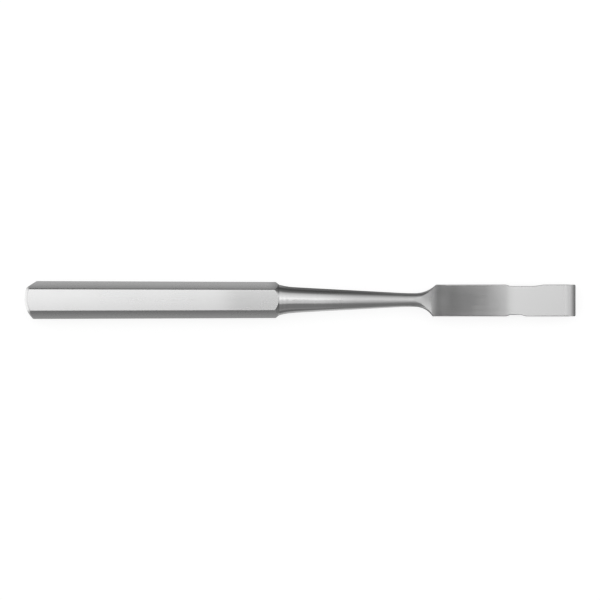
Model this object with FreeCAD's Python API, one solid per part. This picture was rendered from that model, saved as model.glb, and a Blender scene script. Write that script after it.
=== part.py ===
"""Bone chisel: one forged, turned and ground piece of stainless steel, in millimetres.

A six-sided handle tapers from its domed butt to a turned shoulder. A round neck tapers from there to a
waist, then opens out in a flare to a flat blade. The blade thins in a hollow sweep to a flat front, which
rolls over into a single bevel at the cutting edge.

The tool is worked out along its own axis first: +X from the butt towards the cutting edge, +Y across the
blade and +Z out of the upper flat of the handle. It is then laid down on the lower flat of the handle,
with the origin on the ground below its middle.
"""

import FreeCAD, Part
import math
import os

# Lengths along the axis, one after the other from the butt
handle_length = 93.4  # to the ends of the six ridges
shoulder_length = 7.8  # turned cone and hollow, to the start of the plain taper
taper_length = 44.1  # to the waist
root_length = 5.1  # to where the blade starts to thin
sweep_entry_length = 5.0  # to the steepest place of the sweep
sweep_exit_length = 26.5  # to the flat front of the blade
front_length = 23.1  # to the cutting edge

# Handle, a hexagon with two of its flats level
butt_width = 14.25  # across the ridges at the butt
butt_height = 12.3  # across the level flats at the butt
butt_facet = 8.25  # width of the level flats at the butt, which sets the slant of the other four
shoulder_width = 13.55
shoulder_height = 11.7
ridge_radius = 0.45  # rounding of the ridges and of the edges round the butt

# Butt, a dome between two unequal corner cuts
dome_radius_across = 10.25  # as seen from above
dome_radius_upright = 17.6  # as seen from the side
dome_shift = 0.5  # of the highest place of the dome, towards +Y
cut_half_width = 4.6  # from the axis to where both cuts start
upper_cut_angle = 33.5  # degrees between the axis and the cut on the +Y side
lower_cut_angle = 58.5

# Shoulder and neck
shoulder_angle = 38.0  # degrees between the axis and the shoulder's cone
cone_foot_radius = 5.7  # where the cone gives way to the hollow
hollow_angle = 17.0  # degrees between the axis and the start of the hollow
taper_start_radius = 4.72
waist_radius = 2.53
waist_ease = 6.0  # length over which the taper eases into the waist
upper_flare_radius = 11.0  # of the arc that opens out to the blade on the +Y side
lower_flare_radius = 7.7

# Blade
blade_width = 11.8
blade_offset = 0.18  # of the blade's middle, from the axis towards -Y
root_thickness = 5.0  # between the flats at the waist
root_fall = 0.018  # of each flat, for each millimetre towards the sweep
root_crown_radius = 260.0  # of the flats across their width
runout_length = 4.0  # from the waist back to where the grinding of the flats starts
runout_angle = 5.0  # degrees by which it starts above the waist
front_thickness = 1.6
bevel_length = 3.2
edge_land = 0.14  # thickness left at the cutting edge
tip_corner_radius = 0.5
blade_edge_radius = 0.3  # rounding of the four long edges

# Shallow hollows that are ground into both sides of the blade
hollow_lead = 3.2  # from where they start to the flat front of the blade
hollow_depth = 0.52
hollow_entry = 2.4  # length of the slope into each
upper_hollow_floor = 7.6
upper_hollow_exit = 5.6
lower_hollow_floor = 3.2
lower_hollow_exit = 2.7

# Places along the axis that follow from those lengths
taper_start_x = handle_length + shoulder_length
waist_x = taper_start_x + taper_length
sweep_start_x = waist_x + root_length
sweep_steepest_x = sweep_start_x + sweep_entry_length
front_x = sweep_steepest_x + sweep_exit_length
edge_x = front_x + front_length

# Distance that is well outside the tool, for the stock that is turned, cut and ground away round it
outside = butt_width + blade_width

x_axis = FreeCAD.Vector(1, 0, 0)
y_axis = FreeCAD.Vector(0, 1, 0)
z_axis = FreeCAD.Vector(0, 0, 1)
origin = FreeCAD.Vector(0, 0, 0)


def plan(x, y):
    """Point in the level plane through the axis."""
    return FreeCAD.Vector(x, y, 0)


def side(x, z):
    """Point in the upright plane through the axis."""
    return FreeCAD.Vector(x, 0, z)


def line(start, end):
    return Part.LineSegment(start, end).toShape()


def lines(points):
    return [line(start, end) for start, end in zip(points, points[1:])]


def arc(start, middle, end):
    return Part.Arc(start, middle, end).toShape()


def curve(*poles):
    bezier = Part.BezierCurve()
    bezier.setPoles(list(poles))
    return bezier.toShape()


def swept(edges, direction):
    """Solid that a closed outline sweeps on both sides of its own plane, to well outside the tool."""
    face = Part.Face(Part.Wire(edges))
    face.translate(direction * -outside)
    return face.extrude(direction * (2 * outside))


def swung(edges, centre, axis, degrees):
    """Solid that a closed outline sweeps as it swings by an angle to both sides of its own plane."""
    face = Part.Face(Part.Wire(edges))
    face.rotate(centre, axis, -degrees)
    return face.revolve(centre, axis, 2 * degrees)


def along_handle(at_butt, at_shoulder, x):
    """A size of the handle at any place, from its values at the two ends."""
    return at_butt + (at_shoulder - at_butt) * x / handle_length


def between_flats(at_butt, at_shoulder, point, direction):
    """Stock between two opposite flats, which draw together from the butt to the shoulder."""
    near = -ridge_radius
    far = waist_x
    near_half = along_handle(at_butt, at_shoulder, near) / 2
    far_half = along_handle(at_butt, at_shoulder, far) / 2
    corners = [point(near, near_half), point(far, far_half), point(far, -far_half), point(near, -near_half)]
    return swept(lines(corners + corners[:1]), direction)


def hexagon_bar():
    """Tapered six-sided bar, as long as the handle and the neck."""
    lean = (butt_width - butt_facet) / butt_height
    bar = between_flats(butt_height, shoulder_height, side, y_axis)
    for sign in (1, -1):
        along_facet = FreeCAD.Vector(0, sign * lean, 1)
        bar = bar.common(between_flats(butt_width, shoulder_width, plan, along_facet))
    return bar


def dome_x(y):
    """Where the outline of the dome lies, as seen from above."""
    return dome_radius_across - math.sqrt(dome_radius_across ** 2 - (y - dome_shift) ** 2)


def dome_stock():
    """Stock in front of the dome, which curves by one radius across and by another one upright."""
    reach = (butt_width + ridge_radius) / 2
    lower = plan(dome_x(-reach), -reach)
    upper = plan(dome_x(reach), reach)
    outline = [arc(lower, plan(0, dome_shift), upper)]
    outline += lines([upper, plan(-outside, reach), plan(-outside, -reach), lower])
    swing = math.degrees(math.asin(butt_height / dome_radius_upright))
    return swung(outline, plan(dome_radius_upright, 0), y_axis, swing)


def corner_stock(degrees, sign):
    """Stock outside one corner cut of the butt, on the +Y side for a sign of 1 and on the other for -1."""
    start = plan(dome_x(sign * cut_half_width), sign * cut_half_width)
    slant = math.radians(degrees)
    reach = plan(math.cos(slant), sign * math.sin(slant)) * outside
    behind = plan(outside, 0)
    corners = [start - reach, start + reach, start + reach - behind * 2, start - reach - behind]
    return swept(lines(corners + corners[:1]), z_axis)


def handle_bar():
    """Tapered six-sided bar with its butt cut to shape, as long as the handle and the neck."""
    cuts = [dome_stock(), corner_stock(upper_cut_angle, 1), corner_stock(lower_cut_angle, -1)]
    bar = hexagon_bar().cut(cuts)
    far_end = [edge for edge in bar.Edges if edge.BoundBox.XMin > handle_length]
    rounded = [edge for edge in bar.Edges if not any(edge.isSame(other) for other in far_end)]
    return bar.makeFillet(ridge_radius, rounded)


def turned_neck():
    """Round of the shoulder and the neck, with room round the handle."""
    slope = math.tan(math.radians(shoulder_angle))
    ridge = shoulder_width / 2
    cone_top = plan(handle_length - (outside - ridge) / slope, outside)
    cone_foot = plan(handle_length + (ridge - cone_foot_radius) / slope, cone_foot_radius)
    taper_start = plan(taper_start_x, taper_start_radius)
    waist = plan(waist_x, waist_radius)
    waist_pole = plan(waist_x - waist_ease / 2, waist_radius)
    taper_slope = (taper_start_radius - waist_radius) / (waist_pole.x - taper_start_x)
    taper_end = waist_pole + plan(-1, taper_slope) * (waist_ease / 2)
    reach = (taper_start_x - cone_foot.x) / 3
    hollow = curve(
        cone_foot,
        cone_foot + plan(1, -math.tan(math.radians(hollow_angle))) * reach,
        taper_start + plan(-1, taper_slope) * reach,
        taper_start,
    )
    outline = lines([plan(waist_x, 0), plan(-outside, 0), plan(-outside, outside), cone_top, cone_foot])
    outline += [hollow, line(taper_start, taper_end), curve(taper_end, waist_pole, waist)]
    outline += [line(waist, plan(waist_x, 0))]
    return Part.Face(Part.Wire(outline)).revolve(origin, x_axis, 360)


def half_flare(radius, sign):
    """Half of the trumpet that opens out from the waist, on the +Y side for a sign of 1."""
    waist = plan(waist_x, waist_radius)
    rim = waist + plan(radius, radius)
    middle = waist + plan(math.sin(math.pi / 4), 1 - math.cos(math.pi / 4)) * radius
    outline = [arc(waist, middle, rim)]
    far = edge_x + outside
    outline += lines([rim, plan(rim.x, outside), plan(far, outside), plan(far, 0), plan(waist_x, 0), waist])
    profile = Part.Face(Part.Wire(outline))
    profile.rotate(origin, x_axis, -90 * sign)
    return profile.revolve(origin, x_axis, 180)


def blade_side(sign, floor_length, exit_length):
    """One side of the blade in plan, from the waist to past the tip, with its shallow hollow."""
    edge_y = sign * blade_width / 2 - blade_offset
    floor_y = edge_y - sign * hollow_depth
    start = plan(front_x - hollow_lead, edge_y)
    floor_start = plan(start.x + hollow_entry, floor_y)
    floor_end = plan(floor_start.x + floor_length, floor_y)
    end = plan(floor_end.x + exit_length, edge_y)
    entry_reach = plan(hollow_entry / 2, 0)
    exit_reach = plan(exit_length / 2, 0)
    return [
        line(plan(waist_x, edge_y), start),
        curve(start, start + entry_reach, floor_start - entry_reach, floor_start),
        line(floor_start, floor_end),
        curve(floor_end, floor_end + exit_reach, end - exit_reach, end),
        line(end, plan(edge_x + tip_corner_radius, edge_y)),
    ]


def blade_plate():
    """Blade at its full thickness, with straight sides up to the waist and with length to spare."""
    upper = blade_side(1, upper_hollow_floor, upper_hollow_exit)
    lower = blade_side(-1, lower_hollow_floor, lower_hollow_exit)
    ends = [
        line(upper[-1].Vertexes[-1].Point, lower[-1].Vertexes[-1].Point),
        line(upper[0].Vertexes[0].Point, lower[0].Vertexes[0].Point),
    ]
    return swept(Part.__sortEdges__(upper + lower + ends), z_axis)


def root_stock():
    """Stock above the upper flat of the blade's root, which is slightly crowned across its width."""
    flat = root_thickness / 2
    start = side(waist_x - runout_length, flat + runout_length * math.tan(math.radians(runout_angle)))
    end = side(edge_x + outside, flat - root_fall * (edge_x + outside - waist_x))
    outline = lines([start, side(waist_x, flat), end, side(end.x, outside), side(start.x, outside), start])
    swing = math.degrees(math.asin(blade_width / root_crown_radius))
    return swung(outline, side(0, flat - root_crown_radius), x_axis, swing)


def sweep_stock():
    """Stock above the upper face of the blade: two tangent curves that meet where the sweep is steepest."""
    start = side(sweep_start_x, root_thickness / 2 - root_fall * root_length)
    end = side(front_x, front_thickness / 2)
    drop = start.z - end.z
    steepest = (2 * drop - root_fall * sweep_entry_length) / (sweep_entry_length + sweep_exit_length)
    entry_pole = start + side(1, -root_fall) * (sweep_entry_length / 2)
    exit_pole = end - side(sweep_exit_length / 2, 0)
    middle = exit_pole + side(-1, steepest) * (sweep_exit_length / 2)
    lead_in = start + side(-1, steepest) * root_length
    outline = [curve(start, entry_pole, middle), curve(middle, exit_pole, end)]
    far = edge_x + outside
    outline += lines([end, side(far, end.z), side(far, outside), side(lead_in.x, outside), lead_in, start])
    return swept(outline, y_axis)


def tip_stock():
    """Stock past the cutting edge and round the two corners of the tip."""
    upper_y = blade_width / 2 - blade_offset
    lower_y = upper_y - blade_width
    round_x = edge_x - tip_corner_radius
    inset = tip_corner_radius * (1 - math.cos(math.pi / 4))
    upper = plan(edge_x, upper_y - tip_corner_radius)
    lower = plan(edge_x, lower_y + tip_corner_radius)
    outline = [
        arc(plan(round_x, upper_y), plan(edge_x - inset, upper_y - inset), upper),
        line(upper, lower),
        arc(lower, plan(edge_x - inset, lower_y + inset), plan(round_x, lower_y)),
    ]
    far = edge_x + outside
    outline += lines(
        [
            plan(round_x, lower_y),
            plan(round_x, -outside),
            plan(far, -outside),
            plan(far, outside),
            plan(round_x, outside),
            plan(round_x, upper_y),
        ]
    )
    return swept(outline, z_axis)


def bevel_stock():
    """Stock above the bevel, a plain arc that leaves the upper face level and ends at the cutting edge."""
    drop = front_thickness - edge_land
    radius = (bevel_length ** 2 + drop ** 2) / (2 * drop)
    turn = math.asin(bevel_length / radius)
    heel = side(edge_x - bevel_length, front_thickness / 2)
    middle = heel + side(math.sin(turn / 2), math.cos(turn / 2) - 1) * radius
    edge = heel + side(bevel_length, -drop)
    past_edge = edge + side(math.cos(turn), -math.sin(turn)) * tip_corner_radius
    outline = [arc(heel, middle, edge)]
    outline += lines([edge, past_edge, side(past_edge.x, outside), side(heel.x, outside), heel])
    return swept(outline, y_axis)


def on_both_faces(stock):
    return [stock, stock.mirror(origin, z_axis)]


def is_long_edge(edge):
    """Whether an edge of the ground plate runs along one of its sides."""
    strip = blade_width / 2 - hollow_depth - edge_land
    middle = edge.valueAt((edge.FirstParameter + edge.LastParameter) / 2)
    points = [middle] + [vertex.Point for vertex in edge.Vertexes]
    beside = all(abs(point.y + blade_offset) > strip for point in points)
    return beside and edge.BoundBox.XLength > edge.BoundBox.ZLength


def blade():
    """The blade with both faces ground, its long edges rounded and the round sides of the flare."""
    plate = blade_plate().cut(on_both_faces(root_stock()) + on_both_faces(sweep_stock()))
    rounded = plate.makeFillet(blade_edge_radius, [edge for edge in plate.Edges if is_long_edge(edge)])
    return rounded.common(half_flare(upper_flare_radius, 1).fuse(half_flare(lower_flare_radius, -1)))


def chisel():
    """The tool along its own axis."""
    shaft = handle_bar().common(turned_neck()).cut(on_both_faces(root_stock()))
    return shaft.fuse(blade()).removeSplitter().cut(tip_stock()).cut(bevel_stock())


def lay_down(tool):
    """Turns the tool until the lower flat of the handle is level, and sets it on the ground."""
    tilt = math.atan2((butt_height - shoulder_height) / 2, handle_length)
    tool.rotate(origin, y_axis, math.degrees(tilt))
    tool.translate(side(-edge_x / 2, butt_height / 2 * math.cos(tilt)))
    return tool


def main():
    os.makedirs("parts", exist_ok=True)
    tool = lay_down(chisel())
    tool.exportStep("parts/bone_chisel.step")


main()
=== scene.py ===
"""Look of the bone chisel: brushed and polished steel on a white table, under plain soft studio light."""

import bpy
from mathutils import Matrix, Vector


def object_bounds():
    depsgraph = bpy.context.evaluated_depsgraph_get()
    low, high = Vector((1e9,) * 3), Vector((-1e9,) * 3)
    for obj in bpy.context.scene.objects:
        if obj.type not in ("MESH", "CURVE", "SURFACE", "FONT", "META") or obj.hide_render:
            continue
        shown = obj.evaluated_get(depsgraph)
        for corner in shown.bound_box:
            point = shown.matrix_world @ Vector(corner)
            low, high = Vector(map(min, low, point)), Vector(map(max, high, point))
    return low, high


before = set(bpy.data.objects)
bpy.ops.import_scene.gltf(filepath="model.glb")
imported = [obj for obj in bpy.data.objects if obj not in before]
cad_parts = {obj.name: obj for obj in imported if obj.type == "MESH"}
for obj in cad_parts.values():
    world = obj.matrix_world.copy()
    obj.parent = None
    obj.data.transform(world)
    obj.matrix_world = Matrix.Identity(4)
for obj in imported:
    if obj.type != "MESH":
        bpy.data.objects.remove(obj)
cad_low, cad_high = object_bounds()

# Camera, straight above the tool with a long lens. The picture is square.
picture_width = 0.2231  # of the table, in metres
camera_height = 3.0
sensor_width = 36.0  # millimetres
nearest_seen = 0.1  # metres
farthest_seen = 20.0

# Radiance of the studio by degrees from straight up, from the front of the table to its back (+Y)
front_to_back = (
    (-90, 0.40),
    (-84, 0.30),
    (-70, 0.25),
    (-34, 0.25),
    (-28, 0.75),
    (-9, 0.85),
    (-4, 1.20),
    (0, 1.40),
    (12, 1.38),
    (20, 1.32),
    (40, 1.16),
    (56, 0.84),
    (72, 0.24),
    (84, 0.16),
    (90, 0.16),
)
# Share of that radiance by degrees across, from the butt's side to the cutting edge's side
side_to_side = (
    (-90, 1.0),
    (-10, 1.38),
    (-1, 1.33),
    (2, 1.08),
    (6, 1.0),
    (18, 1.08),
    (26, 1.05),
    (42, 0.72),
    (60, 0.40),
    (90, 0.03),
)
# Degrees to the back between which the share gives way to the whole
share_end = 15.0
whole_start = 35.0

# Dark gap in the lights beside the camera, by the same two angles. It narrows to a point towards +X.
gap_start = 3.2
gap_end = 17.0
gap_softness = 3.2
gap_radiance = 0.07
gap_middle = -0.5
gap_half_width = 3.5
gap_slope = 2.0  # degrees that its start moves across for each degree to the front or the back

# Least radiance on the butt's side, and the degrees across between which it comes in
butt_side_radiance = 0.5
butt_side_start = -8.0
butt_side_end = -35.0

# Light past the butt, in a wedge of bearings round the middle of its dome. Bearings are degrees from -X.
wedge_middle = -3.0
wedge_full = 21.0  # to each side of that middle
wedge_end = 27.0
lamp_radiance = 1.3
lamp_start = -22.0  # degrees across between which it comes in
lamp_end = -35.0

# Table, in metres. Its mirror image in the steel is dimmer than the white that the camera sees.
table_half_width = 5.0
table_albedo = 0.28
table_glow = 0.83
mirrored_albedo = 0.12

# Glow of the mirrored table by place along the tool, behind it and in front of it
glow_behind = (
    (-0.012, 0.50),
    (-0.004, 0.075),
    (0.015, 0.09),
    (0.042, 0.26),
    (0.055, 0.26),
    (0.065, 0.08),
)
glow_in_front = ((-0.012, 0.38), (0.033, 0.95), (0.039, 0.95), (0.0445, 0.10))
# Distances from the axis between which that glow falls to a share of itself
behind_near = 0.017
behind_far = 0.027
behind_far_share = 0.0
in_front_near = 0.013
in_front_far = 0.022
in_front_far_share = 0.2
# Glow close under the neck and the blade, on the side towards +Y
beneath_glow = 0.10
beneath_near = 0.0045
beneath_far = 0.0075
beneath_start = -0.012  # along the tool
beneath_end = -0.004
blend_half_width = 0.003  # of the passage from the front of the table to its back, under the tool

# Glow past the butt, in the same wedge of bearings, taken from the centre of the dome's curve
dome_radius = 0.01025
dome_shift = 0.0005
wedge_glow = 1.1
wedge_near = -0.100  # along the tool
wedge_far = -0.103

# Steel, with its marks by place in millimetres
steel_color = (0.71, 0.71, 0.71)
marks_along = (0.006, 1.0, 1.0)  # stretch of the marks that run along the tool
marks_round = (1.0, 0.01, 0.01)
mark_depth = 0.0000005  # metres
mark_scale = 9.0
mark_detail = 3.0
streak_scale = 1.6
streak_low = 0.3  # of the noise
streak_high = 0.7
streak_tone = 0.98
streak_roughness = 0.004
wear_scale = 0.12
wear_detail = 4.0
wear_low = 0.35
wear_high = 0.65
wear_roughness = 0.006

# Places along the tool, in millimetres from the butt
handle_end = 94.6
shoulder_lean = 0.3  # of a face's normal along the tool, past which it belongs to the shoulder
millimetres = 1000.0  # in a metre

# The tool's axis above the table, in millimetres at the butt, and its fall for each millimetre
axis_height = 6.15
axis_fall = 0.0032

# Upright shares of a face's normal between which the face comes to count as level
slanting = 0.85
level = 0.97

# The same for the rounded ridge behind the upper flat, on which a dark line of painted shade goes. It
# starts between the first two of these and ends between the others
ridge_start_steep = 0.46
ridge_start_full = 0.58
ridge_end_full = 0.95
ridge_end_level = 0.99
# Share of the normal towards +Y at which a ridge is the one behind, and shares along the tool between which
# the rounding round the butt gives way to it
ridge_behind = 0.1
butt_rounding = -0.2
past_butt_rounding = -0.05


class Nodes:
    """Adds nodes to one tree. Inputs are plain values or the outputs of other nodes."""

    def __init__(self, tree):
        self.tree = tree
        tree.nodes.clear()

    def add(self, kind, inputs=None, **settings):
        node = self.tree.nodes.new(kind)
        for name, value in settings.items():
            setattr(node, name, value)
        for name, value in (inputs or {}).items():
            if isinstance(value, bpy.types.NodeSocket):
                self.tree.links.new(value, node.inputs[name])
            else:
                node.inputs[name].default_value = value
        return node

    def math(self, operation, *values):
        return self.add("ShaderNodeMath", dict(enumerate(values)), operation=operation).outputs[0]

    def vector(self, operation, *values):
        node = self.add("ShaderNodeVectorMath", dict(enumerate(values)), operation=operation)
        return node.outputs["Value" if operation == "DOT_PRODUCT" else "Vector"]

    def scaled(self, vector, scale):
        node = self.add("ShaderNodeVectorMath", {0: vector, "Scale": scale}, operation="SCALE")
        return node.outputs["Vector"]

    def joined(self, x=0.0, y=0.0, z=0.0):
        return self.add("ShaderNodeCombineXYZ", {"X": x, "Y": y, "Z": z}).outputs[0]

    def split(self, vector):
        return self.add("ShaderNodeSeparateXYZ", {"Vector": vector}).outputs

    def mix(self, factor, a, b):
        inputs = {"Factor": factor, "A": a, "B": b}
        return self.add("ShaderNodeMix", inputs, data_type="FLOAT").outputs[0]

    def noise(self, vector, scale, detail):
        inputs = {"Vector": vector, "Scale": scale, "Detail": detail}
        return self.add("ShaderNodeTexNoise", inputs).outputs[0]

    def apart(self, value, middle):
        """Distance of a value from a middle."""
        return self.math("ABSOLUTE", self.math("SUBTRACT", value, middle))

    def step(self, value, low, high, start=0.0, end=1.0):
        """Smooth passage from start at low to end at high."""
        inputs = {"Value": value, "From Min": low, "From Max": high, "To Min": start, "To Max": end}
        return self.add("ShaderNodeMapRange", inputs, interpolation_type="SMOOTHSTEP").outputs[0]

    def eased(self, value, points):
        """Smooth passages through (place, level) points."""
        total = points[0][1]
        for (low, start), (high, end) in zip(points, points[1:]):
            if start != end:
                total = self.math("ADD", total, self.step(value, low, high, 0.0, end - start))
        return total

    def profile(self, value, points):
        """Straight lines through (place, level) points, whose levels aren't negative."""
        first = points[0][0]
        span = points[-1][0] - first
        place = self.math("DIVIDE", self.math("SUBTRACT", value, first), span)
        ramp = self.add("ShaderNodeValToRGB", {"Fac": place})
        while len(ramp.color_ramp.elements) < len(points):
            ramp.color_ramp.elements.new(0.5)
        for element, (position, height) in zip(ramp.color_ramp.elements, points):
            element.position = (position - first) / span
            element.color = (height, height, height, 1)
        return ramp.outputs["Color"]


def make_camera():
    data = bpy.data.cameras.new("camera")
    data.sensor_width = sensor_width
    data.lens = sensor_width * camera_height / picture_width
    data.clip_start = nearest_seen
    data.clip_end = farthest_seen
    camera = bpy.data.objects.new("camera", data)
    middle = (cad_low + cad_high) / 2
    camera.location = (middle.x, middle.y, middle.z + camera_height)
    bpy.context.scene.collection.objects.link(camera)
    bpy.context.scene.camera = camera


def past_butt(nodes, x, y):
    """Share of the light past the butt, which fills a wedge as wide as the middle of its dome."""
    bearing = nodes.math("DEGREES", nodes.math("ARCTAN2", y, nodes.math("MULTIPLY", x, -1.0)))
    return nodes.step(nodes.apart(bearing, wedge_middle), wedge_end, wedge_full)


def in_gap(nodes, back, across):
    """Share of the dark gap beside the camera."""
    past_width = nodes.math("SUBTRACT", nodes.apart(back, gap_middle), gap_half_width)
    outside = nodes.math("MAXIMUM", past_width, 0.0)
    start = nodes.math("MULTIPLY_ADD", outside, gap_slope, gap_start)
    past_start = nodes.step(nodes.math("SUBTRACT", across, start), -gap_softness, gap_softness)
    before_end = nodes.step(across, gap_end + gap_softness, gap_end - gap_softness)
    return nodes.math("MULTIPLY", past_start, before_end)


def make_studio():
    """World that is white to the camera and holds the soft lights for everything else."""
    world = bpy.data.worlds.new("studio")
    world.use_nodes = True
    bpy.context.scene.world = world
    nodes = Nodes(world.node_tree)
    ray = nodes.split(nodes.add("ShaderNodeTexCoord").outputs["Generated"])
    back = nodes.math("DEGREES", nodes.math("ARCTAN2", ray["Y"], ray["Z"]))
    across = nodes.math("DEGREES", nodes.math("ARCSINE", ray["X"]))
    whole = nodes.step(back, share_end, whole_start)
    share = nodes.mix(whole, nodes.profile(across, side_to_side), 1.0)
    light = nodes.math("MULTIPLY", nodes.profile(back, front_to_back), share)
    light = nodes.mix(in_gap(nodes, back, across), light, gap_radiance)
    least = nodes.step(across, butt_side_start, butt_side_end, 0.0, butt_side_radiance)
    light = nodes.math("MAXIMUM", light, least)
    wedge = past_butt(nodes, ray["X"], ray["Y"])
    lamp = nodes.math("MULTIPLY", wedge, nodes.step(across, lamp_start, lamp_end))
    light = nodes.mix(lamp, light, lamp_radiance)
    path = nodes.add("ShaderNodeLightPath").outputs
    seen = nodes.mix(path["Is Camera Ray"], light, 1.0)
    background = nodes.add("ShaderNodeBackground", {"Strength": seen})
    nodes.add("ShaderNodeOutputWorld", {"Surface": background.outputs[0]})


def mirrored_glow(nodes):
    """Glow of the table as the steel mirrors it."""
    place = nodes.split(nodes.add("ShaderNodeTexCoord").outputs["Object"])
    distance = nodes.math("ABSOLUTE", place["Y"])

    near = nodes.step(distance, behind_far, behind_near, behind_far_share, 1.0)
    beneath = nodes.math(
        "MULTIPLY",
        nodes.step(distance, beneath_far, beneath_near, 0.0, beneath_glow),
        nodes.step(place["X"], beneath_start, beneath_end),
    )
    behind = nodes.math("MULTIPLY_ADD", nodes.eased(place["X"], glow_behind), near, beneath)

    near = nodes.step(distance, in_front_far, in_front_near, in_front_far_share, 1.0)
    in_front = nodes.math("MULTIPLY", nodes.eased(place["X"], glow_in_front), near)
    glow = nodes.mix(nodes.step(place["Y"], blend_half_width, -blend_half_width), behind, in_front)

    from_dome = nodes.math("SUBTRACT", place["X"], cad_low.x + dome_radius)
    wedge = past_butt(nodes, from_dome, nodes.math("SUBTRACT", place["Y"], dome_shift))
    wedge = nodes.math("MULTIPLY", wedge, nodes.step(place["X"], wedge_near, wedge_far))
    return nodes.mix(wedge, glow, wedge_glow)


def table_material():
    """White to the camera apart from the tool's shadow, and dimmer in the steel."""
    material = bpy.data.materials.new("table")
    material.use_nodes = True
    nodes = Nodes(material.node_tree)
    path = nodes.add("ShaderNodeLightPath").outputs
    through = nodes.math("MAXIMUM", path["Is Camera Ray"], path["Is Transmission Ray"])
    mirrored = nodes.math("MULTIPLY", path["Is Glossy Ray"], mirrored_glow(nodes))
    glow = nodes.math("MULTIPLY_ADD", through, table_glow, mirrored)
    albedo = nodes.mix(path["Is Glossy Ray"], table_albedo, mirrored_albedo)
    matte = nodes.add("ShaderNodeBsdfDiffuse", {"Color": albedo})
    added = nodes.add("ShaderNodeEmission", {"Strength": glow})
    both = nodes.add("ShaderNodeAddShader", {0: matte.outputs[0], 1: added.outputs[0]})
    nodes.add("ShaderNodeOutputMaterial", {"Surface": both.outputs[0]})
    return material


def make_table():
    mesh = bpy.data.meshes.new("table")
    w = table_half_width
    mesh.from_pydata([(-w, -w, 0), (w, -w, 0), (w, w, 0), (-w, w, 0)], [], [(0, 1, 2, 3)])
    table = bpy.data.objects.new("table", mesh)
    bpy.context.scene.collection.objects.link(table)
    mesh.materials.append(table_material())


def levelled(nodes, normal, share, slope):
    """Normal that gives way by a share to that of a plain slope, where the face is near level."""
    near_level = nodes.step(nodes.split(normal)["Z"], slanting, level)
    share = nodes.math("MULTIPLY", share, near_level)
    kept = nodes.scaled(normal, nodes.math("SUBTRACT", 1.0, share))
    sloping = nodes.scaled(nodes.joined(x=slope, z=1.0), share)
    return nodes.vector("NORMALIZE", nodes.vector("ADD", kept, sloping))


def bent(nodes, normal, from_axis, crown, lean, tilt):
    """Normal crowned across the tool, that leans towards the cutting edge and tilts towards +Y."""
    outward = nodes.vector("DOT_PRODUCT", from_axis, normal)
    sideways = nodes.vector("SUBTRACT", from_axis, nodes.scaled(normal, outward))
    crowned = nodes.vector("ADD", normal, nodes.scaled(sideways, crown))
    return nodes.vector("NORMALIZE", nodes.vector("ADD", crowned, nodes.joined(x=lean, y=tilt)))


def grain(nodes, place, round_it, scale):
    """Fine marks that run along the tool and give way by a share to marks that run round it."""
    along = nodes.noise(nodes.vector("MULTIPLY", place, marks_along), scale, mark_detail)
    around = nodes.noise(nodes.vector("MULTIPLY", place, marks_round), scale, mark_detail)
    return nodes.mix(round_it, along, around)


def ridge_rounding(nodes):
    """Share of the rounded ridge between the upper flat and the flat behind it, where the colour is
    darkened as painted shade.
    """
    facing = nodes.split(nodes.add("ShaderNodeNewGeometry").outputs["Normal"])
    past_start = nodes.step(facing["Z"], ridge_start_steep, ridge_start_full)
    before_end = nodes.step(facing["Z"], ridge_end_level, ridge_end_full)
    rounding = nodes.math("MULTIPLY", past_start, before_end)
    rounding = nodes.math("MULTIPLY", rounding, nodes.step(facing["Y"], 0.0, ridge_behind))
    return nodes.math("MULTIPLY", rounding, nodes.step(facing["X"], butt_rounding, past_butt_rounding))


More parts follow.
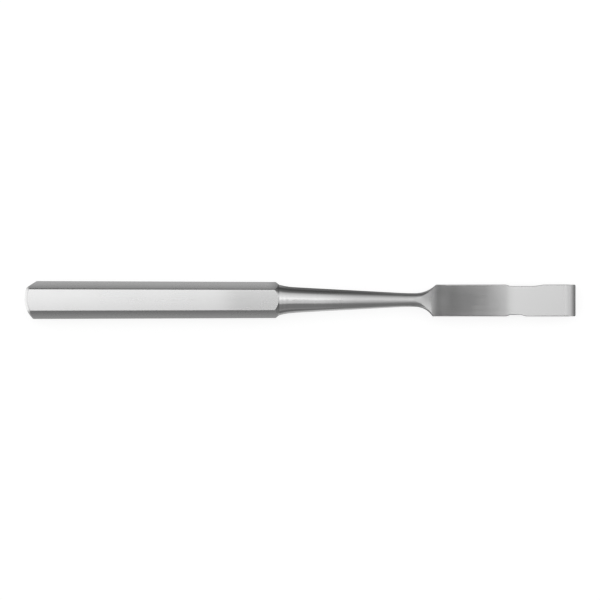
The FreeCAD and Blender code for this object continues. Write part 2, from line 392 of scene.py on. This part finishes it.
def steel(
    name,
    anisotropic,
    shade,
    roughness,
    crown,
    lean,
    marks,
    tilt=None,
    flat=None,
    slope=None,
    painted_ridge_shade=None,
):
    """Steel whose finish changes along the tool, with painted shade in its colour. The profiles go by
    millimetres
    from the butt: shade, a painted shade that darkens the colour to dim its reflections, roughness, crown
    of the flats across their width (1/mm), lean of the surface towards the cutting edge and tilt of it
    towards +Y (radians), share of the marks that run round the tool, and share of each near-level face that
    looks like a plain slope, with that slope (radians). Without a profile, painted_ridge_shade is the
    painted shade of the rounded ridge behind the upper flat, a dark line painted into its colour."""
    material = bpy.data.materials.new(name)
    material.use_nodes = True
    nodes = Nodes(material.node_tree)
    place = nodes.scaled(nodes.add("ShaderNodeTexCoord").outputs["Object"], millimetres)
    parts = nodes.split(place)
    along = nodes.math("SUBTRACT", parts["X"], cad_low.x * millimetres)
    axis = nodes.math("MULTIPLY_ADD", along, -axis_fall, axis_height)
    from_axis = nodes.joined(y=parts["Y"], z=nodes.math("SUBTRACT", parts["Z"], axis))

    normal = nodes.add("ShaderNodeNewGeometry").outputs["Normal"]
    if flat:
        normal = levelled(nodes, normal, nodes.eased(along, flat), nodes.eased(along, slope))
    aside = nodes.eased(along, tilt) if tilt else 0.0
    normal = bent(nodes, normal, from_axis, nodes.eased(along, crown), nodes.eased(along, lean), aside)

    round_it = nodes.eased(along, marks)
    fine = grain(nodes, place, round_it, mark_scale)
    streaks = grain(nodes, place, round_it, streak_scale)
    wear = nodes.noise(place, wear_scale, wear_detail)
    streaked = nodes.step(streaks, streak_low, streak_high, -streak_roughness, streak_roughness)
    worn = nodes.step(wear, wear_low, wear_high, -wear_roughness, wear_roughness)
    rough = nodes.math("ADD", nodes.math("ADD", nodes.eased(along, roughness), streaked), worn)
    tone_and_painted_shade = nodes.step(streaks, streak_low, streak_high, streak_tone, 1.0)
    # Painted shade: the colour is darkened by place along the tool, to dim the reflections there.
    tone_and_painted_shade = nodes.math("MULTIPLY", nodes.eased(along, shade), tone_and_painted_shade)
    # Painted shade: a dark line painted on the rounded ridge behind the upper flat.
    if painted_ridge_shade:
        tone_and_painted_shade = nodes.math("MULTIPLY", tone_and_painted_shade, nodes.mix(ridge_rounding(nodes), 1.0, painted_ridge_shade))
    color = nodes.scaled(steel_color, tone_and_painted_shade)
    bump_inputs = {"Strength": 1.0, "Distance": mark_depth, "Height": fine, "Normal": normal}
    inputs = {
        "Base Color": color,
        "Metallic": 1.0,
        "Roughness": rough,
        "Anisotropic": anisotropic,
        "Normal": nodes.add("ShaderNodeBump", bump_inputs).outputs[0],
        "Tangent": nodes.add("ShaderNodeTangent", direction_type="RADIAL", axis="X").outputs[0],
    }
    shader = nodes.add("ShaderNodeBsdfPrincipled", inputs)
    nodes.add("ShaderNodeOutputMaterial", {"Surface": shader.outputs[0]})
    return material


def brushed_handle_with_painted_shade():
    return steel(
        "brushed_handle_with_painted_shade",
        anisotropic=0.5,
        shade=((0, 1.0), (93, 1.0)),
        roughness=((0, 0.27), (93, 0.27)),
        crown=((0, 0.011), (93, 0.011)),
        lean=((0, -0.012), (50, 0.0), (70, 0.004), (81, 0.029), (93, 0.027)),
        marks=((0, 0.0), (93, 0.0)),
        # Painted shade: the rounded ridge behind the upper flat keeps 0.35 of the colour.
        painted_ridge_shade=0.35,
    )


def polished_shank_with_painted_shade():
    # Painted shade: the colour dims along the neck towards the waist, more at the flare, and dips just
    # before the bevel.
    neck_painted_shade = ((107, 1.0), (125, 0.80), (147, 0.80), (149.5, 0.75), (150.5, 0.75), (153.5, 1.0))
    edge_painted_shade = ((199.8, 1.0), (200.6, 0.97), (201.0, 0.97), (202.0, 1.0))
    neck_roughness = ((94, 0.15), (106, 0.17), (126, 0.34), (140, 0.38), (148, 0.36))
    blade_roughness = ((154, 0.18), (158, 0.18), (164.5, 0.193), (168, 0.193), (172.5, 0.18), (200, 0.18))
    bevel_roughness = ((201.8, 0.40), (203, 0.40), (204.5, 0.24))
    flare_crown = ((136, 0.0), (144, 0.07), (146.5, 0.06), (148.8, -0.042), (150.4, -0.040))
    blade_crown = ((152.0, 0.002), (172, 0.002), (182, 0.001))
    cone_lean = ((94.1, -0.32), (94.8, -0.236))
    hollow_lean = ((96.42, -0.195), (98.06, -0.114), (101.19, -0.072))
    neck_lean = ((101.22, -0.038), (138, -0.038), (146, 0.0))
    flat_root = ((145, 0.0), (148, 1.0), (156, 1.0), (159, 0.0))
    flat_front = ((182, 0.0), (184, 1.0), (200.8, 1.0), (201.8, 0.0))
    return steel(
        "polished_shank_with_painted_shade",
        anisotropic=0.0,
        shade=neck_painted_shade + edge_painted_shade,
        roughness=neck_roughness + blade_roughness + bevel_roughness,
        crown=flare_crown + blade_crown,
        lean=cone_lean + hollow_lean + neck_lean,
        marks=((94, 1.0), (140, 1.0), (152, 0.0)),
        tilt=((98, 0.0), (112, 0.04), (143, 0.04), (150, 0.0)),
        flat=flat_root + flat_front,
        slope=((147.4, 0.02), (156.4, 0.1), (170, 0.1), (180, 0.003)),
    )


def dress(chisel):
    mesh = chisel.data
    mesh.materials.clear()
    mesh.materials.append(brushed_handle_with_painted_shade())
    mesh.materials.append(polished_shank_with_painted_shade())
    for face in mesh.polygons:
        on_handle = face.center.x < cad_low.x + handle_end / millimetres and face.normal.x < shoulder_lean
        face.material_index = 0 if on_handle else 1


def main():
    bpy.context.scene.view_settings.view_transform = "Standard"
    make_camera()
    make_studio()
    make_table()
    dress(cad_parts["bone_chisel"])


main()
